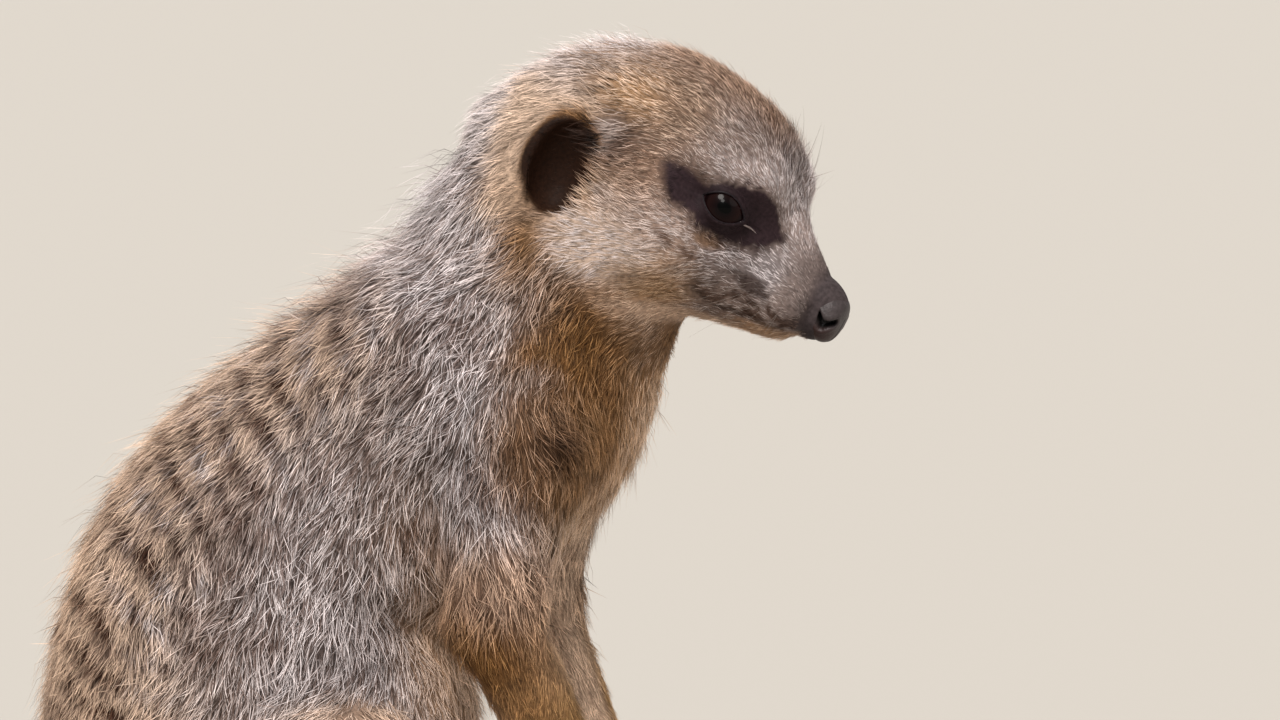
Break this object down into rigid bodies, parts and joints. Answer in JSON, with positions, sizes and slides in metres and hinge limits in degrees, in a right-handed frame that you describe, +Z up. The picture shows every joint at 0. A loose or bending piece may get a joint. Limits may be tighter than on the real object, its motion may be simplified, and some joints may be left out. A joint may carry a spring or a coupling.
{
  "type": "meerkat",
  "caption": "Life-size still model of a meerkat sitting on its haunches, arms hanging, head turned a little and tipped down, tail laid behind.",
  "frame": {"origin": "centre of the underside of the bounding box, on the floor", "axes": "+X the way the animal faces, +Y its left side, +Z up"},
  "size_m": [0.2674, 0.1428, 0.192],
  "materials": {
    "coat": "banded grey-brown and cream fur",
    "ear": "black-brown short-haired ear",
    "nose": "moist dark grey nose leather",
    "eye": "glossy dark brown eye",
    "claw": "dark horn"
  },
  "bodies": {
    "root": {"belly": "coat", "chest": "coat", "claw_fore_inner_left": "claw", "claw_fore_inner_right": "claw", "claw_fore_outer_left": "claw", "claw_fore_outer_right": "claw", "claw_fore_second_left": "claw", "claw_fore_second_right": "claw", "claw_fore_third_left": "claw", "claw_fore_third_right": "claw", "claw_hind_inner_left": "claw", "claw_hind_inner_right": "claw", "claw_hind_outer_left": "claw", "claw_hind_outer_right": "claw", "claw_hind_second_left": "claw", "claw_hind_second_right": "claw", "claw_hind_third_left": "claw", "claw_hind_third_right": "claw", "ear_left": "ear", "ear_right": "ear", "eye_left": "eye", "eye_right": "eye", "foot_left": "coat", "foot_right": "coat", "forearm_left": "coat", "forearm_right": "coat", "hand_left": "coat", "hand_right": "coat", "head": "coat", "neck": "coat", "nose": "nose", "rump": "coat", "shank_left": "coat", "shank_right": "coat", "tail_far": "coat", "tail_near": "coat", "tail_root": "coat", "tail_tip": "coat", "thigh_left": "coat", "thigh_right": "coat", "upper_arm_left": "coat", "upper_arm_right": "coat"}
  },
  "joints": []
}
